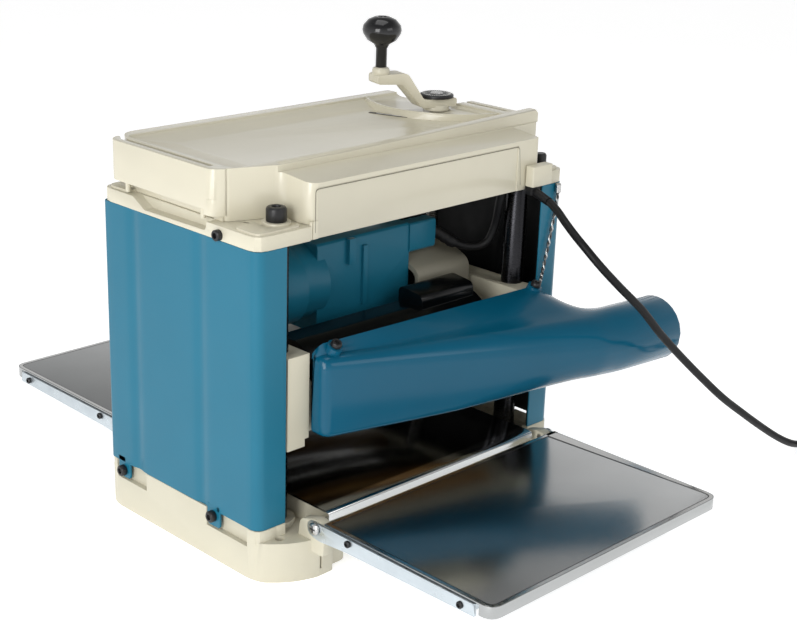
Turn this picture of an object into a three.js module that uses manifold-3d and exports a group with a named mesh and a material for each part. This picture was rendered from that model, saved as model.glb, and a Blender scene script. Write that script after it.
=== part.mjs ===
// Portable thickness planer, in millimetres, +Z up.
// Origin: centre of the base's underside. +X runs along the cutter and the rollers, towards the
// dust outlet. -Y is the outfeed side, which carries the dust hood. +Y is the infeed side.
import * as THREE from "three";
import { mergeVertices } from "three/addons/utils/BufferGeometryUtils.js";
import Module from "manifold-3d";

const wasm = await Module();
wasm.setup();

// ---------------------------------------------------------------- driving dimensions
const GAP = 0.3; // clearance between touching pieces
const PLANING_WIDTH = 304;
const BODY = { halfX: 217, halfY: 121.5, baseTop: 42, coverBottom: 54, coverTop: 336 };
const SHEET = 3; // wall of the side covers
const FLANGE = 36; // inward lip of each side cover
const COVER_SCREWS = [
  { name: "rear", y: 97, z: 45 },
  { name: "front", y: -54, z: 48 },
];
const COLUMN = { x: 171, y: 94, r: 12, bottom: 30, top: 349.7 };
const SCREW_AXIS = { x: 163, y: 24 }; // lead screws; the crank turns the right one
const SCREW_R = 7;
const DECK_TOP = 350;
const RIM = 401; // top of the tray rim and of the carrying handles
const TRAY = 393; // tray floor
const TRAY_WALL = 3;
const BED_TOP = 67;
const BED_HALF_Y = 153;
const TABLE = { halfX: 171.5, inner: 168, outer: 385.5, pivotY: 157, pivotZ: 59 };
const HEAD = { bottom: 128, top: 224, endOuter: 178, endInner: 151 };
const DRUM = { y: 0, z: 156.5, r: 23, knife: 24.5 };
const SPROCKET = { x: 188, r: 17, width: 4 };
const LIFT_SPROCKET_Z = 50;
const ROLLER = { y: 68, z: 150, r: 19, shaft: 6 };
const MOTOR = { y: -10, z: 254.5, r: 43, box: 298, front: -40, left: -70, right: 62 };
const DUCT = { y: -192, z: 172, r: 36.5, x: 178, end: 292, slope: 0.105, wall: 2.5 };
const HOOD = { left: -150, right: 178, back: -122.4, bottom: 139, blendFrom: 158, blendTo: 222, round: 9 };
const PULLEY = { x: -200, r: 15, width: 13 };
const PLATFORM = { x: 215, y: 52, r: 100 };
const CRANK = { reach: 72, angle: 165, hubZ: 402, knobZ: 450 };
const CORD_R = 4.25;

// The power cord leaves its guard, drops to the ground and runs to a coil.
const CORD_ROUTE = [
  [150.5, -157.3, 330.6],
  [145.5, -173.0, 325.0],
  [139.0, -189.0, 318.0],
  [134.5, -206.0, 309.0],
  [133.5, -223.0, 298.0],
  [139.0, -240.0, 281.5],
  [158.0, -252.0, 258.5],
  [186.0, -261.0, 231.0],
  [215.0, -268.0, 198.5],
  [247.0, -275.0, 167.0],
  [280.0, -282.0, 136.5],
  [313.0, -289.0, 107.5],
  [349.0, -294.0, 81.0],
  [387.0, -298.0, 54.5],
  [422.0, -300.5, 32.0],
  [452.0, -301.5, 16.0],
  [478.0, -300.5, 7.0],
  [503.0, -297.0, 4.6],
  [526.0, -292.7, 4.6],
  [547.0, -291.1, 4.6],
];
const COIL = { x: 548, y: -356, inner: 34, outer: 60, height: 18 };
const TAIL_ROUTE = [
  [547.0, -420.9, 4.6],
  [530.0, -421.6, 4.8],
  [514.0, -422.6, 8.0],
  [502.0, -423.0, 11.8],
];

const HOOD_SCREWS = [
  { name: "left", at: [-130, -134, 230.5], direction: [0, -0.5, 0.866] },
  { name: "right", at: [165, -133, 229], direction: [0.1, -0.4, 0.911] },
];

// ---------------------------------------------------------------- materials
const paint = (color, roughness, metalness = 0) =>
  new THREE.MeshStandardMaterial({ color, roughness, metalness });
const cream = paint(0xdcd6c2, 0.45);
const coverBlue = paint(0x4a8fae, 0.5);
const hoodBlue = paint(0x1f6688, 0.25);
const blackPlastic = paint(0x17181a, 0.45);
const castIron = paint(0x3a3c3e, 0.6, 0.6);
const steel = paint(0xb4b6b8, 0.3, 0.9);
const mirrorSteel = paint(0xc8cacb, 0.12, 1);
const zinc = paint(0xb8c4d0, 0.35, 0.8);
const rubber = paint(0x8a5a22, 0.6);
const cordBlack = paint(0x1d1d1e, 0.6);
const brass = paint(0xb08d4a, 0.35, 0.9);

const part = new THREE.Group();

// ---------------------------------------------------------------- helpers
// A closed geometry as a solid that can be cut and joined.
function solid(geometry) {
  const bare = new THREE.BufferGeometry().setAttribute("position", geometry.getAttribute("position"));
  if (geometry.index) bare.setIndex(geometry.index);
  const merged = mergeVertices(bare, 1e-4);
  return new wasm.Manifold(
    new wasm.Mesh({
      numProp: 3,
      vertProperties: new Float32Array(merged.attributes.position.array),
      triVerts: new Uint32Array(merged.index.array),
    }),
  );
}

function geometryOf(manifold) {
  const mesh = manifold.getMesh();
  const geometry = new THREE.BufferGeometry();
  geometry.setAttribute("position", new THREE.BufferAttribute(mesh.vertProperties, 3));
  geometry.setIndex(new THREE.BufferAttribute(mesh.triVerts, 1));
  geometry.computeVertexNormals();
  return geometry;
}

function add(name, manifold, material) {
  const mesh = new THREE.Mesh(geometryOf(manifold), material);
  mesh.name = name;
  part.add(mesh);
}

const join = (...solids) => solids.reduce((all, one) => all.add(one));
const cut = (body, ...tools) => tools.reduce((left, tool) => left.subtract(tool), body);

// Box between two corners.
function block(x0, x1, y0, y1, z0, z1) {
  const box = new THREE.BoxGeometry(x1 - x0, y1 - y0, z1 - z0);
  return solid(box.translate((x0 + x1) / 2, (y0 + y1) / 2, (z0 + z1) / 2));
}

// Outline through points, each [x, y] or [x, y, corner radius].
function outline(points) {
  const shape = new THREE.Shape();
  const count = points.length;
  points.forEach(([x, y, wanted = 0], i) => {
    const [px, py] = points[(i + count - 1) % count];
    const [nx, ny] = points[(i + 1) % count];
    const before = new THREE.Vector2(px - x, py - y);
    const after = new THREE.Vector2(nx - x, ny - y);
    const r = Math.min(wanted, 0.49 * before.length(), 0.49 * after.length());
    if (r > 0) {
      before.setLength(r);
      after.setLength(r);
    }
    const start = r > 0 ? [x + before.x, y + before.y] : [x, y];
    if (i === 0) shape.moveTo(...start);
    else shape.lineTo(...start);
    if (r > 0) shape.quadraticCurveTo(x, y, x + after.x, y + after.y);
  });
  shape.closePath();
  return shape;
}

// Shape in X-Y, extruded from z0 to z1.
function plate(points, z0, z1, curveSegments = 3) {
  const shape = points instanceof THREE.Shape ? points : outline(points);
  const geometry = new THREE.ExtrudeGeometry(shape, { depth: z1 - z0, bevelEnabled: false, curveSegments });
  return solid(geometry.translate(0, 0, z0));
}

// Shape in Y-Z, extruded from x0 to x1.
function profileX(points, x0, x1, curveSegments = 3) {
  const shape = points instanceof THREE.Shape ? points : outline(points);
  const geometry = new THREE.ExtrudeGeometry(shape, { depth: x1 - x0, bevelEnabled: false, curveSegments });
  const turn = new THREE.Matrix4().set(0, 0, 1, x0, 1, 0, 0, 0, 0, 1, 0, 0, 0, 0, 0, 1);
  return solid(geometry.applyMatrix4(turn));
}

const roundedBox = (x0, x1, y0, y1, z0, z1, r) =>
  plate([[x0, y0, r], [x1, y0, r], [x1, y1, r], [x0, y1, r]], z0, z1);

// Turned piece: profile of [radius, height] pairs from axis to axis, turned about +Z.
const turned = (profile, segments = 16) =>
  new THREE.LatheGeometry(profile.map(([r, h]) => new THREE.Vector2(r, h)), segments).rotateX(Math.PI / 2);

// A turned piece whose axis points along a direction, with height 0 at the given place.
function turnedAt(profile, at, direction = [0, 0, 1], segments = 16) {
  const geometry = turned(profile, segments);
  const turn = new THREE.Quaternion().setFromUnitVectors(
    new THREE.Vector3(0, 0, 1),
    new THREE.Vector3(...direction).normalize(),
  );
  return solid(geometry.applyQuaternion(turn).translate(...at));
}

const rod = (r, length, at, direction, segments) =>
  turnedAt([[0, 0], [r, 0], [r, length], [0, length]], at, direction, segments);
const ring = (inner, outer, length, at, direction, segments) =>
  turnedAt([[inner, 0], [outer, 0], [outer, length], [inner, length], [inner, 0]], at, direction, segments);

// Round tube of radius r along a smooth curve through the points.
function cable(points, r, steps, sides = 8) {
  const curve = new THREE.CatmullRomCurve3(points.map((p) => new THREE.Vector3(...p)), false, "centripetal");
  const section = new THREE.Shape();
  section.absarc(0, 0, r, 0, Math.PI * 2, false);
  return solid(
    new THREE.ExtrudeGeometry(section, { steps, extrudePath: curve, bevelEnabled: false, curveSegments: sides }),
  );
}

// Closed skin through equal-length rings of [x, y, z] points, with flat convex ends.
function loft(rings) {
  const size = rings[0].length;
  const positions = rings.flat(2);
  const index = [];
  for (let k = 0; k + 1 < rings.length; k += 1) {
    for (let i = 0; i < size; i += 1) {
      const a = k * size + i;
      const b = k * size + ((i + 1) % size);
      index.push(a, b + size, b, a, a + size, b + size);
    }
  }
  const last = (rings.length - 1) * size;
  for (let i = 1; i + 1 < size; i += 1) {
    index.push(0, i, i + 1, last, last + i + 1, last + i);
  }
  const geometry = new THREE.BufferGeometry();
  geometry.setAttribute("position", new THREE.Float32BufferAttribute(positions, 3));
  geometry.setIndex(index);
  return solid(geometry);
}

// Calls make(name part, sign) for the left (-1) and right (+1) side.
function bothSides(make) {
  make("left", -1);
  make("right", 1);
}

const mirrorX = (body) => body.mirror([1, 0, 0]);
const corners = [
  ["front_left", -1, -1],
  ["front_right", 1, -1],
  ["rear_left", -1, 1],
  ["rear_right", 1, 1],
];

// ---------------------------------------------------------------- base and bed
function baseCasting() {
  const { halfX, baseTop, coverBottom } = BODY;
  const half = [
    [-halfX, -108, 6],
    [-halfX + 4, -124, 8],
    [-190, -143, 14],
    [-165, -151, 6],
    [-142, -150, 4],
    [-140, -141, 3],
    [-118, -141, 8],
    [-108, -118, 8],
  ];
  const turned180 = (points) => points.map(([x, y, r]) => [-x, -y, r]);
  const mirrorY = (points) => points.map(([x, y, r]) => [x, -y, r]).reverse();
  const rear = mirrorY(half);
  const footprint = [...half, ...turned180(rear), ...turned180(half), ...rear];
  let body = plate(footprint, 0, baseTop, 3);
  const wall = 8;
  const hollow = roundedBox(-halfX + wall, halfX - wall, -110, 110, -1, baseTop - 8, 6);
  const webs = join(
    block(-halfX + 2, halfX - 2, -12, 12, 0, baseTop - 7),
    block(-12, 12, -112, 112, 0, baseTop - 7),
  );
  body = join(cut(body, hollow), webs);
  // Bed bridge between the two side walls, and a raised boss under each column.
  body = join(body, block(-149, 149, -116, 116, baseTop - 2, BED_TOP - 2.5));
  corners.forEach(([, sx, sy]) => {
    body = join(body, rod(20, 20, [sx * COLUMN.x, sy * COLUMN.y, 28], [0, 0, 1]));
    // Ear for the table pivot, beside the bed.
    const ear = profileX(
      [[128, 30, 2], [166, 30, 3], [168, 62, 9], [156, 67, 9], [132, 60, 6]],
      160,
      171,
    );
    const placedEar = sy < 0 ? ear.mirror([0, 1, 0]) : ear;
    body = join(body, sx < 0 ? mirrorX(placedEar) : placedEar);
  });
  corners.forEach(([, sx, sy]) => {
    body = cut(body, rod(4, 12, [sx * 150, sy * TABLE.pivotY, TABLE.pivotZ], [sx, 0, 0], 10));
    body = cut(body, rod(4, 14, [sx * 162, sy * TABLE.pivotY, TABLE.pivotZ], [sx, 0, 0], 10));
    // Bench bolt hole through each lug, and the narrow slot in its end.
    const slot = block(158.5, 161, 140, 160, 8, 50).mirror(sx < 0 ? [1, 0, 0] : [0, 0, 0]);
    body = cut(body, sy < 0 ? slot.mirror([0, 1, 0]) : slot);
  });
  // Side walls that rise to the covers' lower edge.
  const kerb = roundedBox(-halfX, halfX, -BODY.halfY, BODY.halfY, baseTop - 2, coverBottom - GAP, 10);
  const between = block(-halfX + FLANGE, halfX - FLANGE, -130, 130, baseTop - 3, coverBottom + 1);
  const within = block(-halfX + wall, halfX - wall, -BODY.halfY + wall, BODY.halfY - wall, baseTop - 3, coverBottom + 1);
  body = join(body, cut(kerb, between, within));
  corners.forEach(([, sx, sy]) => {
    body = cut(body, rod(COLUMN.r + GAP, 60, [sx * COLUMN.x, sy * COLUMN.y, COLUMN.bottom - GAP], [0, 0, 1]));
    body = cut(body, rod(5, 80, [sx * 192, sy * 126, -1], [0, 0, 1], 12));
  });
  // Notches in the side walls where the covers are screwed on.
  bothSides((_, s) => {
    [[58, 110], [-106, -43]].forEach(([y0, y1]) => {
      const [x0, x1] = s < 0 ? [-halfX - 1, -halfX + 6] : [halfX - 6, halfX + 1];
      body = cut(body, block(x0, x1, y0, y1, 34, 60));
    });
    body = cut(body, rod(17.5, 30, [s * SCREW_AXIS.x, SCREW_AXIS.y, 43], [0, 0, 1]));
    body = cut(body, rod(6, 30, [s * SCREW_AXIS.x, SCREW_AXIS.y, 30], [0, 0, 1]));
  });
  return body;
}

function bedPlate() {
  const top = BED_TOP;
  const end = BED_HALF_Y;
  const curl = [
    [-end + 6, top, 0],
    [end - 6, top, 0],
    [end, top - 1, 3],
    [end, top - 11, 3],
    [end - 10, top - 11, 2],
    [end - 10, top - 9.6, 0],
    [end - 2, top - 9.6, 0],
    [end - 2, top - 2, 0],
    [-end + 2, top - 2, 0],
    [-end + 2, top - 9.6, 0],
    [-end + 10, top - 9.6, 0],
    [-end + 10, top - 11, 2],
    [-end, top - 11, 3],
    [-end, top - 1, 3],
  ];
  return profileX(curl, -PLANING_WIDTH / 2, PLANING_WIDTH / 2);
}

// ---------------------------------------------------------------- side covers
function sideCover(sign) {
  const { halfX, halfY, coverBottom, coverTop } = BODY;
  const inner = halfX - FLANGE;
  const outer = plate(
    [[inner, -halfY, 1], [halfX, -halfY, 10], [halfX, halfY, 10], [inner, halfY, 1]],
    coverBottom,
    coverTop,
  );
  const hollow = plate(
    [
      [inner - 1, -halfY + SHEET],
      [halfX - SHEET, -halfY + SHEET, 7],
      [halfX - SHEET, halfY - SHEET, 7],
      [inner - 1, halfY - SHEET],
    ],
    coverBottom - 1,
    coverTop + 1,
  );
  // Tabs that reach down into the base's notches for the lower screws.
  const tab = ({ y }) =>
    profileX([[y - 10, 36, 4], [y + 10, 36, 4], [y + 10, coverBottom + 4], [y - 10, coverBottom + 4]], halfX - SHEET, halfX);
  let body = join(cut(outer, hollow), ...COVER_SCREWS.map(tab));
  const holes = COVER_SCREWS.map(({ y, z }) => rod(3, 12, [halfX - 8, y, z], [1, 0, 0], 14));
  body = cut(body, ...holes);
  return sign > 0 ? body : mirrorX(body);
}
// Socket-head screw lying along X in a side wall.
function sideScrew(sign, y, z, seat) {
  const head = [[0, 0], [6, 0], [6, 5], [5, 6], [3, 6], [3, 3.5], [0, 3.5]];
  const shank = rod(2.6, 6, [sign * (seat - 5.7), y, z], [sign, 0, 0], 10);
  return join(turnedAt(head, [sign * (seat + GAP), y, z], [sign, 0, 0], 12), shank);
}

// ---------------------------------------------------------------- deck, tray and handles
function topFrame() {
  const { halfX, halfY, coverTop } = BODY;
  const low = coverTop + GAP;
  const slab = roundedBox(-halfX, halfX, -halfY, halfY, low, DECK_TOP, 14);
  const opening = roundedBox(-146, 146, -118.5, 112, low - 1, DECK_TOP + 1, 4);
  let body = cut(slab, opening, block(-152.3, 172.3, -130, -118, low - 1, DECK_TOP + 1));
  corners.forEach(([, sx, sy]) => {
    body = cut(body, rod(COLUMN.r + GAP, 30, [sx * COLUMN.x, sy * COLUMN.y, low - 5], [0, 0, 1]));
    body = join(body, rod(COLUMN.r + 2, 3, [sx * COLUMN.x, sy * COLUMN.y, DECK_TOP - 0.01], [0, 0, 1]));
    body = cut(body, rod(4.3, 30, [sx * COLUMN.x, sy * COLUMN.y, low - 5], [0, 0, 1], 16));
  });
  // Way for the belt and the motor's shaft when the head is at its highest.
  body = cut(body, block(-202, -140, -34, 13, low - 1, DECK_TOP + 1));
  // Finger scoop below each carrying handle.
  const scoop = profileX([[-48, DECK_TOP + 1], [-46, 341, 4], [50, 340, 1], [71, DECK_TOP + 1]], 206, halfX + 1, 6);
  bothSides((_, s) => {
    body = cut(body, rod(SCREW_R + 0.6, 30, [s * SCREW_AXIS.x, SCREW_AXIS.y, low - 5], [0, 0, 1]));
    body = cut(body, s > 0 ? scoop : mirrorX(scoop));
  });
  // Raised pad around each column cap.
  corners.forEach(([, sx, sy]) => {
    const pad = padAt(sx, sy, 0);
    body = join(body, cut(pad, rod(19.5, 10, [sx * COLUMN.x, sy * COLUMN.y, DECK_TOP - 2], [0, 0, 1], 24)));
  });
  return body;
}

// Pad of the deck around a column cap, grown by a clearance.
function padAt(sx, sy, grow) {
  const [x0, x1] = sx < 0 ? [-213, -158] : [158, 213];
  const [y0, y1] = sy < 0 ? [-117, -82] : [82, 117];
  return roundedBox(x0 - grow, x1 + grow, y0 - grow, y1 + grow, DECK_TOP - 1, DECK_TOP + 2.2 + grow, 9);
}

function trayOutline() {
  return [
    [-152, -BODY.halfY, 14],
    [172, -BODY.halfY, 5],
    [172, -82, 4],
    [BODY.halfX, -80, 6],
    [BODY.halfX, -56, 3],
    [204, -56, 2],
    [204, 96, 8],
    [190, BODY.halfY, 16],
    [-190, BODY.halfY, 16],
    [-204, 96, 8],
    [-204, -60, 5],
    [-152, -80, 9],
  ];
}

function topCover() {
  const low = DECK_TOP + GAP;
  const { halfX, halfY, coverTop } = BODY;
  let body = plate(trayOutline(), low, RIM, 5);
  // The fascia hangs in front of the deck, down to the covers' top edge.
  const fascia = [[-152, -halfY, 1], [172, -halfY, 5], [172, -118.5], [-152, -118.5]];
  body = join(body, plate(fascia, coverTop + 1, low + 4));
  // Sloping ledge in front of the tray, and the shallow panel in the fascia below it.
  body = cut(body, profileX([[-130, 389.5], [-79, 394.5], [-79, 410], [-130, 410]], -230, 230));
  body = cut(body, block(-143, 138, -halfY - 1, -halfY + 0.9, coverTop, 386));
  body = cut(body, block(-150.4, -149.2, -halfY - 1, -halfY + 1.6, coverTop, 388));
  // Front edge of the tray, which rises towards the right.
  const lip = (x, top) =>
    [[-79, 394], [-79, top - 1], [-77, top], [-68, top], [-60, 394]].map(([y, z]) => [x, y, z]);
  body = join(body, loft([lip(-149, RIM + 0.2), lip(40, RIM + 2), lip(halfX - 3, RIM + 7), lip(halfX, RIM + 4)]));
  // Underside hollow that the motor rises into.
  body = cut(body, block(-147, 147, -69, 114, low - 1, TRAY - TRAY_WALL));
  body = cut(body, block(-144, 144, -115, -68, low - 1, 385.5));
  body = cut(body, block(-198, 198, -54, 90, low - 1, TRAY - TRAY_WALL));
  body = cut(body, block(-202, -184, -34, 14, low - 1, 368));
  body = join(cut(body, trayRecess()), crankPlatform());
  body = cut(body, rod(SCREW_R + 1, 80, [SCREW_AXIS.x, SCREW_AXIS.y, low - 5], [0, 0, 1]));
  body = cut(body, rod(SCREW_R + 8, 34, [-SCREW_AXIS.x, SCREW_AXIS.y, low - 1], [0, 0, 1]));
  // Pockets around the column caps.
  corners.forEach(([, sx, sy]) => {
    body = cut(body, rod(19, 22, [sx * COLUMN.x, sy * COLUMN.y, low - 1], [0, 0, 1], 28));
  });
  body = join(body, carryingHandle(), mirrorX(carryingHandle()));
  body = cut(body, ...corners.map(([, sx, sy]) => padAt(sx, sy, GAP)));
  // The rear right corner stands lower than the rest of the rim.
  const step = [[20, RIM - 2], [42, RIM - 9.5], [halfY + 1, RIM - 9.5], [halfY + 1, RIM + 1], [20, RIM + 1]];
  return cut(body, profileX(step, 183, halfX + 1));
}

// Tray recess, whose walls slope gently at the left and at the rear.
function trayRecess() {
  const ringAt = (left, front, right, rear, z) =>
    outline([
      [left, front, 9],
      [right, front, 9],
      [right, rear, 9],
      [left, rear, 9],
    ])
      .getPoints(4)
      .slice(0, -1)
      .map(({ x, y }) => [x, y, z])
      .reverse();
  return loft([
    ringAt(-158, -50, 182, 76, TRAY),
    ringAt(-162, -53, 185, 80, TRAY + 0.8),
    ringAt(-192, -60, 189, 102, TRAY + 4.5),
    ringAt(-197, -63, 191, 107, TRAY + 6),
    ringAt(-198, -64, 192, 108, RIM + 12),
  ]);
}

// Low round platform under the crank, with a raised lip along its edge.
function crankPlatform() {
  const { x, y, r } = PLATFORM;
  const disc = rod(r, 6, [x, y, TRAY - 2], [0, 0, 1], 64);
  const lip = ring(r - 6, r, 8.5, [x, y, TRAY - 2], [0, 0, 1], 64);
  const upper = ring(r - 4.6, r - 1.4, 9.6, [x, y, TRAY - 2], [0, 0, 1], 64);
  const corner = block(x - r - 1, 192, -66, 106, TRAY - 3, RIM + 5);
  return join(disc, lip, upper).intersect(corner);
}

// A carrying handle: a bar on its front pillar and its rear arm.
function carryingHandle() {
  const bar = [
    [203, -62, 4],
    [217, -54, 7],
    [217, 104, 10],
    [203, 113, 5],
    [203, 107],
    [209, 98, 3],
    [209, -43, 2],
    [203, -43],
  ];
  const pillar = [[203, -62, 4], [217, -54, 7], [217, -43], [203, -43]];
  const arm = [[198, 99], [206, 99], [206, 112], [198, 112]];
  return join(
    plate(bar, 361, RIM, 5),
    plate(pillar, 356, 372, 5),
    plate(arm, 372, 396),
    block(198, 206, -58, -45, DECK_TOP + GAP, 398),
  );
}

function columnCap(x, y) {
  const z = DECK_TOP + 3 + GAP;
  const outside = [[4.4, 0], [10, 0], [10, 11.5], [9, 13.5], [7.5, 14]];
  const socket = [[4.5, 14], [4.5, 8], [0, 8], [0, 5], [4.4, 5], [4.4, 0]];
  return turnedAt([...outside, ...socket], [x, y, z], [0, 0, 1], 24);
}

// ---------------------------------------------------------------- planing head
function headCasting() {
  const { bottom, top, endOuter, endInner } = HEAD;
  const end = join(
    block(endInner, endOuter, -BODY.halfY + 1, BODY.halfY - 1, bottom + 8, top),
    block(endInner + 5, endOuter, -BODY.halfY + 1, BODY.halfY - 1, bottom, bottom + 9),
  );
  let body = join(end, mirrorX(end));
  // Cross beams that tie the two ends, clear of the drum and the rollers.
  body = join(body, block(-endInner - 2, endInner + 2, -112, -96, bottom + 10, 190));
  body = join(body, block(-endInner - 2, endInner + 2, 96, 112, bottom + 10, 190));
  body = join(body, block(-endInner - 2, endInner + 2, -60, 60, 184, 191));
  corners.forEach(([, sx, sy]) => {
    body = cut(body, rod(COLUMN.r + GAP, 140, [sx * COLUMN.x, sy * COLUMN.y, bottom - 10], [0, 0, 1]));
    // The guide bore is open to the outside face.
    const [x0, x1] = sx < 0 ? [-endOuter - 5, -endOuter + 6] : [endOuter - 6, endOuter + 5];
    body = cut(body, block(x0, x1, sy * COLUMN.y - 11, sy * COLUMN.y + 11, bottom - 5, top + 5));
  });
  bothSides((_, s) => {
    body = cut(body, rod(SCREW_R + 4.3, 140, [s * SCREW_AXIS.x, SCREW_AXIS.y, bottom - 10], [0, 0, 1]));
    body = cut(body, rod(9, 60, [s * (endInner - 10), DRUM.y, DRUM.z], [s, 0, 0], 20));
    [-1, 1].forEach((sy) => {
      body = cut(body, rod(ROLLER.shaft + 0.8, 60, [s * (endInner - 10), sy * ROLLER.y, ROLLER.z], [s, 0, 0], 16));
    });
  });
  return body;
}

// Threaded nut that carries the head on its lead screw.
const leadNut = (sign) =>
  ring(SCREW_R + GAP, SCREW_R + 4, 30, [sign * SCREW_AXIS.x, SCREW_AXIS.y, 180], [0, 0, 1]);

function motorHousing() {
  const { y, z, r, box, front, left, right } = MOTOR;
  const barrel = rod(r, 51, [-143, y, z], [1, 0, 0], 32);
  const neck = rod(r - 3, 40, [-100, y, z], [1, 0, 0], 32);
  const shell = profileX([[front, 202, 4], [46, 202, 4], [46, box, 10], [front, box, 6]], left, right);
  const rib = block(-30, -21, front - 5, front + 1, 270, box - 1);
  const boss = block(-8, -2, front - 3, front + 1, 222, box - 12);
  // Clamp that holds the motor lead.
  const hook = [[front - 2, 264, 6], [front + 14, 264, 3], [front + 14, box - 1], [front - 2, box - 1, 4]];
  const clamp = profileX(hook, right - 1, 100);
  let body = join(barrel, neck, shell, rib, boss, clamp);
  body = cut(body, rod(r - 6.5, 74, [-138, y, z], [1, 0, 0], 32));
  const inside = [[front + 4, 208, 2], [40, 208, 2], [40, box - 5, 6], [front + 4, box - 5, 4]];
  body = cut(body, profileX(inside, left + 4, right + 1));
  return cut(body, rod(7, 30, [-160, y, z], [1, 0, 0], 20));
}

function gearCase() {
  const x0 = MOTOR.right + GAP;
  const outer = [[-56, 200, 6], [44, 200, 6], [44, 252, 12], [-20, 260, 12], [-56, 246, 10]];
  const inner = [[-50, 206], [38, 206], [38, 248, 8], [-20, 254, 8], [-50, 242, 6]];
  return cut(profileX(outer, x0, 142, 5), profileX(inner, x0 - 1, 136));
}

// Low black cover over the drum, with a raised box at its right end.
function chipCover() {
  const body = profileX([[-117, 192], [-60, 192], [-60, 224, 4], [-92, 226, 6], [-117, 212, 6]], -143, 110, 5);
  const inside = profileX([[-114, 191], [-63, 191], [-63, 221], [-92, 223, 4], [-114, 210, 5]], -140, 107);
  const bump = profileX([[-98, 215, 2], [-62, 215, 2], [-62, 241, 8], [-98, 237, 8]], 26, 104, 5);
  return cut(join(body, bump), inside);
}

// ---------------------------------------------------------------- dust hood
// Points along a line, without its last point.
function steps(from, to, count) {
  const points = [];
  for (let i = 0; i < count; i += 1) {
    const t = i / count;
    points.push([from[0] + (to[0] - from[0]) * t, from[1] + (to[1] - from[1]) * t]);
  }
  return points;
}

// Quarter turn from one direction to the next, around a corner's centre.
function quarter(cy, cz, r, start, count) {
  const points = [];
  for (let i = 0; i < count; i += 1) {
    const a = start - (i / count) * (Math.PI / 2);
    points.push([cy + r * Math.cos(a), cz + r * Math.sin(a)]);
  }
  return points;
}

// Section of the hood at a distance along X. It turns from a box that is rounded in front into the
// circle of the duct.
function hoodRing(x, inset) {
  const { left, right, bottom, blendFrom, blendTo, round } = HOOD;
  const t = THREE.MathUtils.clamp((x - left) / (right - left), 0, 1);
  const edge = Math.max(0, round - (x - left));
  const inward = inset + round - Math.sqrt(round * round - edge * edge);
  const low = bottom + inward;
  // The inside runs out through the back, up to where the duct begins.
  const depth = x > blendFrom ? inset : Math.min(inset, -2 * Math.sign(inset));
  const back = HOOD.back - depth;
  const front = THREE.MathUtils.lerp(-141, -227, t) + inward;
  const top = 234 - 7 * t - inward;
  const nose = THREE.MathUtils.lerp(13, 35, t);
  const heel = THREE.MathUtils.lerp(8, 34, THREE.MathUtils.smoothstep(t, 0.35, 1));
  const shoulder = THREE.MathUtils.lerp(223, 209, t) - inward;
  const points = [
    ...steps([back, low], [front + heel, low], 5),
    ...quarter(front + heel, low + heel, heel, -Math.PI / 2, 7),
    ...steps([front, low + heel], [front, shoulder - nose], 2),
    ...quarter(front + nose, shoulder - nose, nose, Math.PI, 8),
    ...steps([front + nose, shoulder], [back - 6, top], 4),
    ...steps([back - 6, top], [back, top - 5], 2),
    ...steps([back, top - 5], [back, low], 5),
  ];
  const mix = THREE.MathUtils.smoothstep(x, blendFrom, blendTo);
  const cy = DUCT.y - DUCT.slope * (x - DUCT.x);
  return points.map(([y, z]) => {
    const angle = Math.atan2(z - DUCT.z, y - cy);
    const r = DUCT.r - inset;
    return [
      x,
      THREE.MathUtils.lerp(y, cy + r * Math.cos(angle), mix),
      THREE.MathUtils.lerp(z, DUCT.z + r * Math.sin(angle), mix),
    ];
  });
}

function dustHood() {
  const ends = [-149.5, -148, -145.5, -141, -100, -50, 0, 50, 90, 120, 145, 158];
  const turn = [166, 174, 182, 190, 198, 206, 214, 222, DUCT.end];
  const outer = loft([...ends, ...turn].map((x) => hoodRing(x, 0)));
  const innerEnds = [-144.5, -142.5, -139, -100, -50, 0, 50, 90, 120, 145, 158];
  const inner = loft([...innerEnds, ...turn, DUCT.end + 5].map((x) => hoodRing(x, DUCT.wall)));
  const bosses = HOOD_SCREWS.map(({ at, direction }) => {
    const [x, y, z] = at.map((v, i) => v - 9 * direction[i]);
    return rod(8, 9, [x, y, z], direction, 20);
  });
  return cut(join(outer, ...bosses), inner);
}

function hoodScrew({ at, direction }) {
  const head = [[0, 0], [5.6, 0], [5.6, 3.5], [4.6, 5], [2.8, 5], [2.8, 2.5], [0, 2.5]];
  const seat = at.map((v, i) => v + GAP * direction[i]);
  return turnedAt(head, seat, direction, 18);
}

// ---------------------------------------------------------------- cutter, rollers and motor
function cutterDrum() {
  const half = PLANING_WIDTH / 2 - 3;
  let drum = turnedAt(
    [[0, -196], [7, -196], [7, -half], [DRUM.r, -half], [DRUM.r, half], [7, half], [7, 186], [0, 186]],
    [0, DRUM.y, DRUM.z],
    [1, 0, 0],
    32,
  );
  // A seat for each knife, on opposite sides.
  const seat = block(-half - 1, half + 1, 9, 30, 17.5, 30);
  const opposite = block(-half - 1, half + 1, -30, -9, -30, -17.5);
  drum = cut(drum, join(seat, opposite).translate(0, DRUM.y, DRUM.z));
  return join(drum, pulley(DRUM));
}

function knife(sign) {
  const half = PLANING_WIDTH / 2 - 4;
  const y0 = sign > 0 ? 9.5 : -16.5;
  const z0 = sign > 0 ? 17.8 : -20.3;
  return block(-half, half, DRUM.y + y0, DRUM.y + y0 + 7, DRUM.z + z0, DRUM.z + z0 + 2.5);
}

// Belt pulley, keyed to the left end of a shaft.
const pulley = ({ y, z }) => {
  const { x, r, width } = PULLEY;
  const flange = r + 2;
  const rim = [[flange, 0], [flange, 2], [r, 3], [r, width - 3], [flange, width - 2], [flange, width]];
  const profile = [[0, 0], ...rim, [0, width]];
  return turnedAt(profile, [x, y, z], [1, 0, 0], 20);
};

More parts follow.
